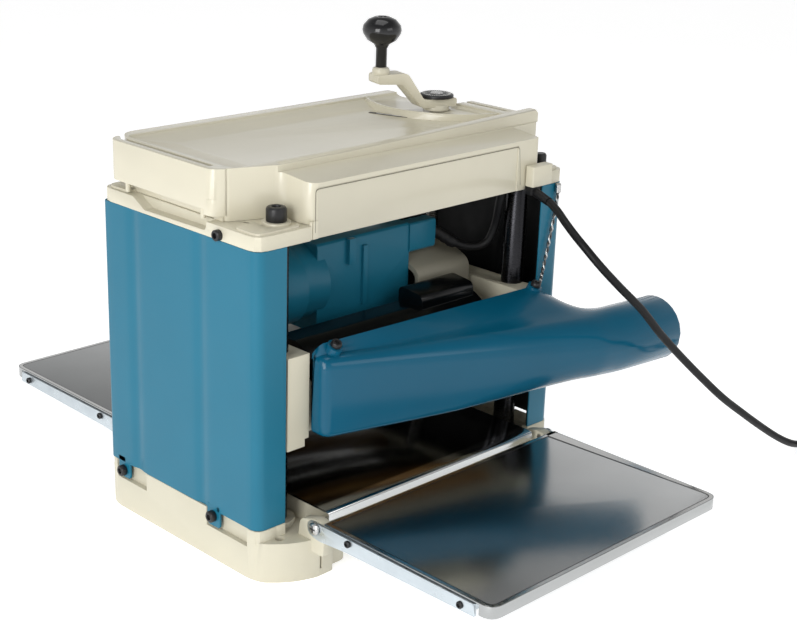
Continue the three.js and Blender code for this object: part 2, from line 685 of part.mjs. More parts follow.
function motorRotor() {
  const profile = [[0, -190], [5, -190], [5, -120], [24, -118], [24, -52], [5, -50], [5, 60], [0, 60]];
  return join(turnedAt(profile, [0, MOTOR.y, MOTOR.z], [1, 0, 0], 24), pulley(MOTOR));
}

// Feed roller's shaft with its chain sprocket at the right end.
function rollerShaft(side) {
  const profile = [
    [0, -184],
    [ROLLER.shaft, -184],
    [ROLLER.shaft, SPROCKET.x],
    [SPROCKET.r, SPROCKET.x],
    [SPROCKET.r, SPROCKET.x + SPROCKET.width],
    [ROLLER.shaft, SPROCKET.x + SPROCKET.width],
    [ROLLER.shaft, 196],
    [0, 196],
  ];
  return turnedAt(profile, [0, side * ROLLER.y, ROLLER.z], [1, 0, 0], 20);
}

// Flat loop of belt or chain around two wheels that lie in one Y-Z plane.
function loop(x0, width, wheels, thickness) {
  const [a, b] = wheels;
  const capsule = (grow) => {
    const ends = wheels.map(([y, z, r]) => rod(r + grow, width, [x0, y, z], [1, 0, 0], 20));
    const dy = b[0] - a[0];
    const dz = b[1] - a[1];
    const span = Math.hypot(dy, dz);
    const lean = Math.asin((a[2] - b[2]) / span);
    const base = Math.atan2(dz, dy);
    const touch = ([y, z, r], side) => {
      const angle = base + side * (Math.PI / 2 - lean);
      return [y + (r + grow) * Math.cos(angle), z + (r + grow) * Math.sin(angle)];
    };
    const quad = [touch(a, -1), touch(b, -1), touch(b, 1), touch(a, 1)];
    return join(...ends, profileX(quad, x0, x0 + width));
  };
  return cut(capsule(thickness), capsule(0));
}

// ---------------------------------------------------------------- lead screws and crank
function leadScrew(sign, top) {
  const profile = [
    [0, 44],
    [5, 44],
    [5, LIFT_SPROCKET_Z],
    [16, LIFT_SPROCKET_Z],
    [16, LIFT_SPROCKET_Z + 4],
    [SCREW_R, LIFT_SPROCKET_Z + 4],
    [SCREW_R, top],
    [0, top],
  ];
  return turnedAt(profile, [sign * SCREW_AXIS.x, SCREW_AXIS.y, 0]);
}

// The crank arm as a stepped bar: low at the hub, high under the knob.
function crankArm() {
  const { reach, hubZ, knobZ } = CRANK;
  const side = [
    [-20, hubZ, 3],
    [24, hubZ, 3],
    [50, knobZ - 20, 4],
    [reach + 9, knobZ - 18, 3],
    [reach + 9, knobZ - 8, 3],
    [44, knobZ - 8, 5],
    [22, hubZ + 9, 4],
    [-20, hubZ + 9, 3],
  ];
  const bar = new THREE.ExtrudeGeometry(outline(side), { depth: 22, bevelEnabled: false, curveSegments: 4 });
  bar.rotateX(Math.PI / 2).translate(0, 11, 0);
  const angle = THREE.MathUtils.degToRad(CRANK.angle);
  const place = new THREE.Matrix4()
    .makeTranslation(SCREW_AXIS.x, SCREW_AXIS.y, 0)
    .multiply(new THREE.Matrix4().makeRotationZ(angle));
  bar.applyMatrix4(place);
  const { x, y } = knobPlace();
  const hub = [SCREW_AXIS.x, SCREW_AXIS.y, hubZ];
  const collar = turnedAt([[0, -4.4], [15, -4.4], [13, 2], [0, 2]], hub, [0, 0, 1], 28);
  let body = join(solid(bar), collar, rod(6.5, 8, [x, y, knobZ - 9], [0, 0, 1]));
  body = cut(body, rod(SCREW_R + GAP, 30, [SCREW_AXIS.x, SCREW_AXIS.y, hubZ - 12], [0, 0, 1]));
  // The knob's pin is riveted into the arm.
  const pin = [[0, -9], [2.9, -9], [2.9, 49.5], [4.3, 49.5], [4.3, 52], [0, 52]];
  return join(body, turnedAt(pin, [x, y, knobZ], [0, 0, 1], 16));
}

function knobPlace() {
  const angle = THREE.MathUtils.degToRad(CRANK.angle);
  return {
    x: SCREW_AXIS.x + CRANK.reach * Math.cos(angle),
    y: SCREW_AXIS.y + CRANK.reach * Math.sin(angle),
  };
}

function crankKnob() {
  const { x, y } = knobPlace();
  const outside = [[6.2, 0], [6.2, 20], [9, 25], [16, 29], [20.5, 36], [21.4, 40], [20.3, 45], [15, 51], [8, 54]];
  const bore = [[4.6, 54], [4.6, 50], [3.2, 50], [3.2, 0]];
  return turnedAt([[3.2, 0], ...outside, ...bore], [x, y, CRANK.knobZ - 0.6], [0, 0, 1], 28);
}

// ---------------------------------------------------------------- tables
function tablePlate() {
  const { halfX, inner, outer } = TABLE;
  const sheet = (inset, z0, z1) => {
    const x = halfX - inset;
    const y = -outer + inset;
    return plate([[-x, y, 14], [x, y, 14], [x, -inner], [-x, -inner]], z0, z1, 6);
  };
  const skirt = cut(sheet(0, BED_TOP - 12, BED_TOP), sheet(1.6, BED_TOP - 13, BED_TOP - 1.6));
  // The skirt is cut away along the sides, where the frame's arms run.
  const way = block(halfX - 1.7, halfX + 1, -outer + 16, -inner + 1, 40, BED_TOP - 1.7);
  return cut(skirt, way, mirrorX(way));
}

function tableFrame() {
  const { halfX, inner, outer, pivotY, pivotZ } = TABLE;
  const armX = halfX + 1.2;
  const arm = profileX(
    [
      [-pivotY + 11, pivotZ - 8, 8],
      [-pivotY + 11, pivotZ + 6, 8],
      [-inner - 6, BED_TOP - 2.2, 4],
      [-outer + 20, BED_TOP - 2.2, 2],
      [-outer + 18, BED_TOP - 14, 2],
      [-inner - 30, pivotZ - 9, 10],
      [-pivotY - 4, pivotZ - 12, 6],
    ],
    armX - 1.2,
    armX + 1.3,
  );
  const flange = block(armX - 14, armX, -outer + 20, -inner - 8, BED_TOP - 4.2, BED_TOP - 2.2);
  const side = join(arm, flange);
  const cross = (y) => block(-armX, armX, y - 9, y + 9, BED_TOP - 11, BED_TOP - 2.2);
  let body = join(side, mirrorX(side), cross(-outer + 32), cross(-inner - 22));
  bothSides((_, s) => {
    body = cut(body, rod(4, 10, [s * (armX - 5), -pivotY, pivotZ], [s, 0, 0], 10));
  });
  return body;
}

function pivotScrew(sx, sy) {
  const seat = TABLE.halfX + 2.5 + GAP;
  const y = sy * TABLE.pivotY;
  const head = [[0, 0], [6.6, 0], [6.6, 1.5], [4.5, 3.2], [0, 3.2]];
  return join(
    turnedAt(head, [sx * seat, y, TABLE.pivotZ], [sx, 0, 0], 14),
    rod(3.7, seat - 160, [sx * 160.1, y, TABLE.pivotZ], [sx, 0, 0], 10),
  );
}

// ---------------------------------------------------------------- switch, scale and cord
function switchBox() {
  const body = block(-128, -66, BODY.halfY + GAP, BODY.halfY + 16, 352, 386);
  return cut(body, block(-118, -76, BODY.halfY + 5.5, BODY.halfY + 17, 356.5, 381.5));
}

function switchPaddle() {
  const face = [[19, 358.5, 2], [17, 369, 3], [21, 379.5, 2]];
  const section = [[8.6, 358, 1], ...face, [8.6, 380, 1]];
  return profileX(section.map(([y, z, r]) => [BODY.halfY + y, z, r]), -117, -77);
}

function cordBlock() {
  return roundedBox(150, 182, -134, -BODY.halfY - 0.4, 341, 363, 3);
}

// Clip under the cord block, with the tapered guard that the cord leaves by.
function cordGuard() {
  const start = [157.5, -132, 334.6];
  const way = new THREE.Vector3(...CORD_ROUTE[0]).sub(new THREE.Vector3(...start));
  const length = way.length() - 3 * GAP;
  const cone = turnedAt([[0, 0], [5, 0], [5, 8], [4.7, length], [0, length]], start, way.toArray(), 16);
  return join(cone, roundedBox(150, 165, -133, -BODY.halfY - 0.4, 332.5, 340.7, 3));
}

function cordCoil() {
  const { inner, outer, height } = COIL;
  const crown = [[outer, height], [outer - 5, height + 8], [inner + 5, height + 8], [inner, height]];
  const profile = [[inner, 0.3], [outer, 0.3], ...crown, [inner, 0.3]];
  return turnedAt(profile, [COIL.x, COIL.y, 0], [0, 0, 1], 28);
}

function powerPlug() {
  const at = [499.9, -423, 12.3];
  const back = [-1, 0, 0];
  const body = turnedAt([[0, 0], [5, 0], [7, 14], [12, 20], [12, 46], [0, 46]], at, back, 20);
  const pin = (dz) => rod(2.4, 20, [at[0] - 45, at[1] + dz, at[2]], back, 12);
  return join(body, pin(-9.5), pin(9.5));
}

const TETHER = [
  [205, -124.8, 335.6],
  [201, -125, 308],
  [193, -125.4, 272],
  [184, -126.5, 240],
  [180, -127.5, 228.5],
];
const MOTOR_LEAD = [
  [100.4, -33, 281],
  [104, -33, 281],
  [113, -38, 275],
  [126, -50, 265],
  [142, -60, 261],
  [154, -70, 267],
  [158, -77, 288],
  [154, -84, 310],
  [152, -89, 328],
  [152, -89, 335.9],
];

// ---------------------------------------------------------------- assembly
add("base_casting", baseCasting(), cream);
add("bed_plate", bedPlate(), mirrorSteel);
corners.forEach(([name, sx, sy]) => {
  const { x, y, r, bottom, top } = COLUMN;
  const post = [[0, bottom], [r, bottom], [r, top], [4.1, top], [4.1, top + 2.5], [0, top + 2.5]];
  add(`column_${name}`, turnedAt(post, [sx * x, sy * y, 0]), steel);
});
add("top_frame", topFrame(), cream);
add("top_cover", topCover(), cream);
corners.forEach(([name, sx, sy]) => add(`column_cap_${name}`, columnCap(sx * COLUMN.x, sy * COLUMN.y), blackPlastic));
bothSides((name, s) => {
  add(`side_cover_${name}`, sideCover(s), coverBlue);
  COVER_SCREWS.forEach((screw) => {
    add(`cover_screw_${name}_${screw.name}`, sideScrew(s, screw.y, screw.z, BODY.halfX), blackPlastic);
  });
});

add("head_casting", headCasting(), cream);
bothSides((name, s) => add(`lead_nut_${name}`, leadNut(s), brass));
add("motor_housing", motorHousing(), hoodBlue);
add("gear_case", gearCase(), cream);
add("chip_cover", chipCover(), blackPlastic);
add("dust_hood", dustHood(), hoodBlue);
HOOD_SCREWS.forEach((screw) => add(`hood_screw_${screw.name}`, hoodScrew(screw), blackPlastic));

add("cutter_drum", cutterDrum(), steel);
add("knife_upper", knife(1), mirrorSteel);
add("knife_lower", knife(-1), mirrorSteel);
add("motor_rotor", motorRotor(), castIron);
const beltR = PULLEY.r + GAP;
add("drive_belt", loop(PULLEY.x + 3, 7, [[MOTOR.y, MOTOR.z, beltR], [DRUM.y, DRUM.z, beltR]], 2), cordBlack);
[["outfeed", -1], ["infeed", 1]].forEach(([name, s]) => {
  const at = [-148, s * ROLLER.y, ROLLER.z];
  add(`${name}_roller_shaft`, rollerShaft(s), steel);
  add(`${name}_roller_sleeve`, ring(ROLLER.shaft + GAP, ROLLER.r, PLANING_WIDTH - 8, at, [1, 0, 0], 20), rubber);
});
const chainR = SPROCKET.r + GAP;
const chainEnds = [-1, 1].map((s) => [s * ROLLER.y, ROLLER.z, chainR]);
add("roller_chain", loop(SPROCKET.x + 0.5, 3, chainEnds, 3), castIron);

add("lead_screw_right", leadScrew(1, CRANK.hubZ + 8), steel);
add("lead_screw_left", leadScrew(-1, 360), steel);
add("crank_arm", crankArm(), cream);
const capPlace = [SCREW_AXIS.x, SCREW_AXIS.y, CRANK.hubZ + 9.4];
add("crank_cap", turnedAt([[0, 0], [19, 0], [19, 3], [17, 4], [0, 4]], capPlace, [0, 0, 1], 32), blackPlastic);
add("crank_knob", crankKnob(), blackPlastic);

add("outfeed_table_plate", tablePlate(), mirrorSteel);
add("outfeed_table_frame", tableFrame(), zinc);
add("infeed_table_plate", tablePlate().mirror([0, 1, 0]), mirrorSteel);
add("infeed_table_frame", tableFrame().mirror([0, 1, 0]), zinc);
corners.forEach(([name, sx, sy]) => add(`pivot_screw_${name}`, pivotScrew(sx, sy), steel));

add("switch_box", switchBox(), blackPlastic);
add("switch_paddle", switchPaddle(), blackPlastic);
add("cord_block", cordBlock(), cream);
add("cord_guard", cordGuard(), cordBlack);
add("power_cord", cable(CORD_ROUTE, CORD_R, 44, 4), cordBlack);
add("power_cord_coil", cordCoil(), cordBlack);
add("power_cord_tail", cable(TAIL_ROUTE, CORD_R, 5, 5), cordBlack);
add("power_plug", powerPlug(), cordBlack);
add("hood_tether", cable(TETHER, 2.2, 10, 4), steel);
add("motor_lead", cable(MOTOR_LEAD, 4.5, 12, 4), cordBlack);

export default part;
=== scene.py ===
"""Looks of the thickness planer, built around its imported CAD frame. Lengths here are in millimetres
unless a name says otherwise; M turns them into the frame's metres."""

import math

import bmesh
import bpy
from mathutils import Matrix, Vector
from mathutils.geometry import convex_hull_2d, interpolate_bezier


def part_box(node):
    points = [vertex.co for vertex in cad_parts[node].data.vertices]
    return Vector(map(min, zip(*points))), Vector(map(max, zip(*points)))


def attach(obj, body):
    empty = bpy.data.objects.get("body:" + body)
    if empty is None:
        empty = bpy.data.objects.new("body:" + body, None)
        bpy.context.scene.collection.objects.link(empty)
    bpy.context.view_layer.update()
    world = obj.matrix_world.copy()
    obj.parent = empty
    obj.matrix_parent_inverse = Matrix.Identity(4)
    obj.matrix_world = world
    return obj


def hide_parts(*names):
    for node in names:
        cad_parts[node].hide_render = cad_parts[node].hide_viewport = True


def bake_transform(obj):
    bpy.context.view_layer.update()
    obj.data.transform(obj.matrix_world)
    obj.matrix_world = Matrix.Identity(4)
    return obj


M = 0.001
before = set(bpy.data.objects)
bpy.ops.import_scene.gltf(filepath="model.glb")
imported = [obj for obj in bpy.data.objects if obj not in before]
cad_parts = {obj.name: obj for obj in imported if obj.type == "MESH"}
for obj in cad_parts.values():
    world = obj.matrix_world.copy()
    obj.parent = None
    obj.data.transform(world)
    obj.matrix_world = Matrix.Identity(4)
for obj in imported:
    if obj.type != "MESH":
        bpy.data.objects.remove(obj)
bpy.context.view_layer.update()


def low(node):
    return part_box(node)[0] / M


def high(node):
    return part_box(node)[1] / M


def middle(node):
    return (low(node) + high(node)) / 2


# ---------------------------------------------------------------- driving dimensions
SIDES = (("left", -1), ("right", 1))
CORNERS = ("front_left", "front_right", "rear_left", "rear_right")
BODY_X = high("side_cover_right").x
COVER_Y = high("side_cover_right").y
COVER_LIP = low("side_cover_right").x
COVER_TOP = high("side_cover_right").z
BASE_TOP = 54.0
FLUTES = (71, -36)  # where the side covers' soft flutes run
COVER_TABS = (97, -54)  # where a tab below each cover takes a screw
COVER_FRONT_ROUND = 11
COVER_REAR_ROUND = 6
COVER_SKIN = 1.5
PEG_PLACES = (82, -38)  # where the pegs under each carrying handle stand
# The next three set a bright band of painted highlight round each table's top, and a thin line of painted
# shade inside it.
HIGHLIGHT_RIM_START = 1.0  # the tables' bright rim, from the plate's edge inwards
HIGHLIGHT_RIM_WIDTH = 3.6
SHADE_LINE_WIDTH = 0.9

# ---------------------------------------------------------------- camera
CAMERA = {"azimuth": -45.29, "elevation": 19.44, "roll": 1.88, "distance": 1686.9, "lens": 69.9}
AIM = Vector((54.0, -35.7, 188.1))


def place_camera():
    azimuth = math.radians(CAMERA["azimuth"])
    elevation = math.radians(CAMERA["elevation"])
    roll = math.radians(CAMERA["roll"])
    level = math.cos(elevation)
    back = Vector((math.sin(azimuth) * level, -math.cos(azimuth) * level, math.sin(elevation)))
    right = Vector((math.cos(azimuth), math.sin(azimuth), 0))
    up = back.cross(right)
    rolled_right = right * math.cos(roll) + up * math.sin(roll)
    rolled_up = back.cross(rolled_right)
    camera = bpy.data.objects.new("camera", bpy.data.cameras.new("camera"))
    camera.data.lens = CAMERA["lens"]
    camera.data.sensor_width = 36
    camera.data.clip_end = 50
    turn = Matrix((rolled_right, rolled_up, back)).transposed().to_4x4()
    camera.matrix_world = Matrix.Translation((AIM + back * CAMERA["distance"]) * M) @ turn
    bpy.context.scene.collection.objects.link(camera)
    bpy.context.scene.camera = camera


place_camera()

# ---------------------------------------------------------------- materials
MATERIALS = {}


def shader(name, color, roughness, metallic=0.0, coat=0.0, coat_roughness=0.1, specular=0.5, sheen=0.0):
    """A Principled material, and the nodes and links to add its detail with."""
    made = bpy.data.materials.new(name)
    made.use_nodes = True
    tree = made.node_tree
    bsdf = tree.nodes["Principled BSDF"]
    bsdf.inputs["Base Color"].default_value = (*color, 1)
    bsdf.inputs["Roughness"].default_value = roughness
    bsdf.inputs["Metallic"].default_value = metallic
    bsdf.inputs["Coat Weight"].default_value = coat
    bsdf.inputs["Coat Roughness"].default_value = coat_roughness
    bsdf.inputs["Specular IOR Level"].default_value = specular
    bsdf.inputs["Sheen Weight"].default_value = sheen
    MATERIALS[name] = made
    return made, tree, bsdf


def place_of(tree, scale=(1, 1, 1)):
    """Object coordinates, which are metres in the row frame, stretched by scale."""
    where = tree.nodes.new("ShaderNodeTexCoord")
    stretch = tree.nodes.new("ShaderNodeMapping")
    stretch.inputs["Scale"].default_value = scale
    tree.links.new(where.outputs["Object"], stretch.inputs["Vector"])
    return stretch.outputs["Vector"]


def noise(tree, per_metre, detail=3.0, stretch=(1, 1, 1), roughness=0.5):
    texture = tree.nodes.new("ShaderNodeTexNoise")
    texture.inputs["Scale"].default_value = per_metre
    texture.inputs["Detail"].default_value = detail
    texture.inputs["Roughness"].default_value = roughness
    tree.links.new(place_of(tree, stretch), texture.inputs["Vector"])
    return texture.outputs["Fac"]


def spread(tree, value, bottom, top, start=0.3, end=0.7):
    """Maps value's start..end to bottom..top."""
    node = tree.nodes.new("ShaderNodeMapRange")
    for socket, number in zip(("From Min", "From Max", "To Min", "To Max"), (start, end, bottom, top)):
        node.inputs[socket].default_value = number
    tree.links.new(value, node.inputs["Value"])
    return node.outputs["Result"]


def mixed(tree, factor, first, second):
    """Colour between two colours, each a tuple or a socket."""
    node = tree.nodes.new("ShaderNodeMix")
    node.data_type = "RGBA"
    tree.links.new(factor, node.inputs[0])
    for socket, color in ((node.inputs[6], first), (node.inputs[7], second)):
        if isinstance(color, tuple):
            socket.default_value = (*color, 1)
        else:
            tree.links.new(color, socket)
    return node.outputs[2]


def bumped(tree, bsdf, height, strength, distance, normal=None):
    node = tree.nodes.new("ShaderNodeBump")
    node.inputs["Strength"].default_value = strength
    node.inputs["Distance"].default_value = distance
    tree.links.new(height, node.inputs["Height"])
    if normal is not None:
        tree.links.new(normal, node.inputs["Normal"])
    tree.links.new(node.outputs["Normal"], bsdf.inputs["Normal"])
    return node.outputs["Normal"]


def painted(name, color, roughness, grain, coat=0.0, peel=0.15, specular=0.5):
    """Paint or powder coat: slow colour drift and orange peel."""
    made, tree, bsdf = shader(name, color, roughness, coat=coat, coat_roughness=0.06, specular=specular)
    darker = tuple(c * 0.96 for c in color)
    lighter = tuple(min(1, c * 1.03) for c in color)
    drift = mixed(tree, spread(tree, noise(tree, 9, 4), 0, 1), darker, lighter)
    tree.links.new(drift, bsdf.inputs["Base Color"])
    gloss = spread(tree, noise(tree, 24, 5), roughness * 0.9, roughness * 1.12)
    tree.links.new(gloss, bsdf.inputs["Roughness"])
    bumped(tree, bsdf, noise(tree, grain, 2), peel, 0.0004)
    return made


def metal(name, color, roughness, stretch=(1, 1, 1), scratch=900, tarnish=0.9, bump=0.06):
    """Bare metal with marks drawn out along one direction and slight tarnish."""
    made, tree, bsdf = shader(name, color, roughness, metallic=1.0)
    lines = noise(tree, scratch, 3, stretch)
    cloud = spread(tree, noise(tree, 14, 5), 0, 1)
    tree.links.new(mixed(tree, cloud, tuple(c * tarnish for c in color), color), bsdf.inputs["Base Color"])
    tree.links.new(spread(tree, lines, roughness * 0.7, roughness * 1.45), bsdf.inputs["Roughness"])
    bumped(tree, bsdf, lines, bump, 0.0003)
    return made


def plastic(name, color, roughness, grain=1500, bump=0.25, specular=0.5):
    """Moulded plastic with a fine spark-eroded grain."""
    made, tree, bsdf = shader(name, color, roughness, specular=specular)
    cloud = spread(tree, noise(tree, 35, 3), 0, 1)
    tone = mixed(tree, cloud, tuple(c * 0.85 for c in color), tuple(c * 1.2 for c in color))
    tree.links.new(tone, bsdf.inputs["Base Color"])
    gloss = spread(tree, noise(tree, 60, 4), roughness * 0.85, roughness * 1.15)
    tree.links.new(gloss, bsdf.inputs["Roughness"])
    bumped(tree, bsdf, noise(tree, grain, 1), bump, 0.0002)
    return made


CREAM = (0.6, 0.565, 0.445)
COVER_BLUE = (0.01, 0.142, 0.225)
GLOSS_BLUE = (0.002, 0.086, 0.155)


def make_bed_steel():
    """Ground steel, painted dark on the flat as a dark reflection and shade of the machine above it,
    bright on the rolled ends.
    """
    _, tree, bsdf = shader("bed_steel", (0.3, 0.3, 0.3), 0.16, metallic=1.0)
    parts = tree.nodes.new("ShaderNodeSeparateXYZ")
    tree.links.new(place_of(tree), parts.inputs["Vector"])
    distance = tree.nodes.new("ShaderNodeMath")
    distance.operation = "ABSOLUTE"
    tree.links.new(parts.outputs["Y"], distance.inputs[0])
    ends = spread(tree, distance.outputs["Value"], 0, 1, 0.134, 0.138)
    # The flat's dark colour is a painted dark reflection and shade from the head above.
    flat = mixed(tree, spread(tree, noise(tree, 14, 5), 0, 1), (0.1, 0.1, 0.1), (0.14, 0.14, 0.135))
    tree.links.new(mixed(tree, ends, flat, (0.68, 0.69, 0.69)), bsdf.inputs["Base Color"])
    lines = noise(tree, 40, 3, (1, 30, 1))
    tree.links.new(spread(tree, lines, 0.1, 0.2), bsdf.inputs["Roughness"])
    bumped(tree, bsdf, lines, 0.02, 0.0003)


def make_threaded_steel():
    """Steel with the turns of a fine screw thread, darkened in the grooves as painted shade."""
    _, tree, bsdf = shader("threaded_steel", (0.42, 0.42, 0.41), 0.25, metallic=1.0)
    wave = tree.nodes.new("ShaderNodeTexWave")
    wave.bands_direction = "Z"
    wave.inputs["Scale"].default_value = 157  # turns 2 mm apart
    tree.links.new(place_of(tree), wave.inputs["Vector"])
    # The dark colour in the thread's grooves is painted shade.
    groove = mixed(tree, wave.outputs["Fac"], (0.1, 0.1, 0.1), (0.55, 0.55, 0.54))
    tree.links.new(groove, bsdf.inputs["Base Color"])
    bumped(tree, bsdf, wave.outputs["Fac"], 0.8, 0.0012)


def make_roller_rubber():
    """Amber rubber with wipe marks round the roller."""
    _, tree, bsdf = shader("roller_rubber", (0.32, 0.15, 0.03), 0.5)
    streaks = spread(tree, noise(tree, 60, 4, (0.2, 1, 1)), 0, 1)
    wipe = mixed(tree, streaks, (0.20, 0.09, 0.02), (0.42, 0.22, 0.05))
    tree.links.new(wipe, bsdf.inputs["Base Color"])
    bumped(tree, bsdf, noise(tree, 700, 2), 0.3, 0.0004)


def make_floor():
    _, tree, bsdf = shader("floor", (0.86, 0.86, 0.86), 0.6)
    shade = mixed(tree, noise(tree, 3, 2), (0.85, 0.85, 0.85), (0.88, 0.88, 0.88))
    tree.links.new(shade, bsdf.inputs["Base Color"])
    bsdf.inputs["Emission Color"].default_value = (1, 1, 1, 1)
    bsdf.inputs["Emission Strength"].default_value = 0.62


def cream(share):
    return tuple(c * share for c in CREAM)


def make_paints():
    painted("cream_paint", CREAM, 0.34, 1400, peel=0.12)
    painted("cream_cast", cream(0.97), 0.42, 500, peel=0.35)
    painted("cream_gloss", CREAM, 0.22, 900, coat=0.2, peel=0.04)
    # The cream paint at 0.4 of its colour is painted shade, for parts deep inside the machine.
    painted("cream_painted_shade", cream(0.4), 0.5, 500, peel=0.35, specular=0.3)
    painted("seam_shade", cream(0.3), 0.6, 900, specular=0.2)
    painted("cover_blue", COVER_BLUE, 0.34, 1100, peel=0.12, specular=0.28)
    painted("gloss_blue", GLOSS_BLUE, 0.17, 300, coat=0.04, peel=0.04, specular=0.26)


def make_plastics():
    plastic("black_plastic", (0.012, 0.012, 0.013), 0.38, specular=0.4)
    plastic("chip_black", (0.0018, 0.0024, 0.0028), 0.2, grain=600, bump=0.05, specular=0.28)
    plastic("knob_plastic", (0.01, 0.01, 0.011), 0.12, grain=500, bump=0.03)
    plastic("cord_rubber", (0.005, 0.005, 0.0055), 0.5, grain=900, bump=0.2, specular=0.25)
    # Near-black, used as painted shade inside the side covers.
    plastic("inner_painted_shade", (0.003, 0.0035, 0.004), 0.5, specular=0.2)
    plastic("dial_white", (0.6, 0.6, 0.58), 0.4)


def make_metals():
    # The columns' steel is darkened nearly to black as painted shade and dark reflection inside the
    # machine.
    metal("column_steel_painted_shade", (0.03, 0.03, 0.033), 0.24, stretch=(1, 1, 20), scratch=120)
    metal("steel", (0.55, 0.55, 0.54), 0.28, scratch=700)
    metal("turned_steel", (0.6, 0.6, 0.59), 0.22, stretch=(20, 1, 1), scratch=60)
    metal("zinc_steel", (0.60, 0.66, 0.70), 0.34, scratch=80, tarnish=0.85)
    metal(
        "mirror_steel", (0.66, 0.67, 0.67), 0.1, stretch=(1, 30, 1), scratch=40, tarnish=0.97, bump=0.01
    )
    metal("table_steel", (0.42, 0.43, 0.43), 0.17, scratch=2600, tarnish=0.93, bump=0.05)
    # Bright steel, for the depth scale and for the painted highlight round the tables.
    metal("scale_steel_and_rim_highlight", (0.72, 0.72, 0.71), 0.16, scratch=500)
    # Dark steel, for one strand of the tether and for the painted shade line round the tables.
    metal("dark_strand_and_shade_line", (0.1, 0.1, 0.1), 0.3)
    metal("brass", (0.6, 0.42, 0.16), 0.3)
    # Dark iron, also used as painted shade in the screws' cross recesses.
    metal("dark_iron", (0.09, 0.09, 0.095), 0.42, tarnish=0.6, bump=0.2)


make_paints()
make_plastics()
make_metals()
make_bed_steel()
make_threaded_steel()
make_roller_rubber()
make_floor()


# ---------------------------------------------------------------- mesh helpers
# Planes for prisms: where the outline's x and y, and the extrusion's z, go in the row frame.
FLAT = Matrix.Identity(4)  # outline in X-Y
ALONG_X = Matrix(((0, 0, 1, 0), (1, 0, 0, 0), (0, 1, 0, 0), (0, 0, 0, 1)))  # outline in Y-Z
ALONG_Y = Matrix(((1, 0, 0, 0), (0, 0, 1, 0), (0, 1, 0, 0), (0, 0, 0, 1)))  # outline in X-Z


def finish_piece(name, mesh_data, material, body, smooth_angle=35):
    made = bpy.data.objects.new(name, mesh_data)
    bpy.context.scene.collection.objects.link(made)
    mesh_data.materials.clear()
    mesh_data.materials.append(MATERIALS[material])
    mesh_data.shade_smooth()
    if smooth_angle:
        mesh_data.set_sharp_from_angle(angle=math.radians(smooth_angle))
    if body:
        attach(made, body)
    return made


def mesh_of(name, vertices, faces):
    """Mesh from points in millimetres, with its faces pointing out."""
    data = bpy.data.meshes.new(name)
    data.from_pydata([tuple(Vector(v) * M) for v in vertices], [], faces)
    work = bmesh.new()
    work.from_mesh(data)
    bmesh.ops.recalc_face_normals(work, faces=work.faces)
    work.to_mesh(data)
    work.free()
    return data


def rounded_edges(made, width, segments=2, angle=30):
    """Bevels the piece's sharp edges by width."""
    bevel = made.modifiers.new("rounded edges", "BEVEL")
    bevel.width = width * M
    bevel.segments = segments
    bevel.limit_method = "ANGLE"
    bevel.angle_limit = math.radians(angle)
    bevel.harden_normals = True
    bevel.use_clamp_overlap = True
    return made


def turn_to(axis):
    return Vector((0, 0, 1)).rotation_difference(Vector(axis).normalized()).to_matrix().to_4x4()


def turned(name, profile, at, axis, material, body, segments=48, smooth_angle=35):
    """Lathe piece: profile of (radius, height) pairs from axis to axis, turned about axis through at."""
    place = Matrix.Translation(at) @ turn_to(axis)
    vertices, faces, rows = [], [], []
    for radius, height in profile:
        if radius < 1e-6:
            rows.append([len(vertices)])
            vertices.append(place @ Vector((0, 0, height)))
            continue
        rows.append(list(range(len(vertices), len(vertices) + segments)))
        for i in range(segments):
            a = 2 * math.pi * i / segments
            vertices.append(place @ Vector((radius * math.cos(a), radius * math.sin(a), height)))
    closed = profile[0] == profile[-1] and profile[0][0] > 1e-6
    if closed:
        del vertices[-segments:]
        rows[-1] = rows[0]
    for a, b in zip(rows, rows[1:]):
        for i in range(segments):
            j = (i + 1) % segments
            corner = [a[i % len(a)], a[j % len(a)], b[j % len(b)], b[i % len(b)]]
            face = [v for k, v in enumerate(corner) if v not in corner[:k]]
            if len(face) > 2:
                faces.append(face)
    return finish_piece(name, mesh_of(name, vertices, faces), material, body, smooth_angle)


def smooth_line(points, steps):
    """Points along a Catmull-Rom curve through the given points."""
    points = [Vector(p) for p in points]
    count = len(points)
    line = []
    for i in range(count - 1):
        p1, p2 = points[i], points[i + 1]
        p0 = points[i - 1] if i > 0 else p1 * 2 - p2
        p3 = points[i + 2] if i + 2 < count else p2 * 2 - p1
        hands = interpolate_bezier(p1, p1 + (p2 - p0) / 6, p2 - (p3 - p1) / 6, p2, steps + 1)
        line += hands[:-1]
    return [*line, points[-1]]


def sweep(line, section_at):
    """Vertices and faces of a section swept along a line. section_at(k, share) gives (x, y) pairs."""
    tangents = [(b - a).normalized() for a, b in zip([line[0], *line[:-1]], [*line[1:], line[-1]])]
    tangents[0] = (line[1] - line[0]).normalized()
    side = tangents[0].orthogonal().normalized()
    vertices, faces = [], []
    for k, (point, along) in enumerate(zip(line, tangents)):
        side = (side - along * side.dot(along)).normalized()
        across = along.cross(side)
        section = section_at(k, k / (len(line) - 1))
        vertices += [point + side * x + across * y for x, y in section]
        size = len(section)
        if k:
            base = (k - 1) * size
            for i in range(size):
                j = (i + 1) % size
                faces.append([base + i, base + j, base + size + j, base + size + i])
    faces.append(list(range(size))[::-1])
    faces.append(list(range(len(vertices) - size, len(vertices))))
    return vertices, faces


def circle(radius, sides):
    angles = [2 * math.pi * i / sides for i in range(sides)]
    return [(radius * math.cos(a), radius * math.sin(a)) for a in angles]


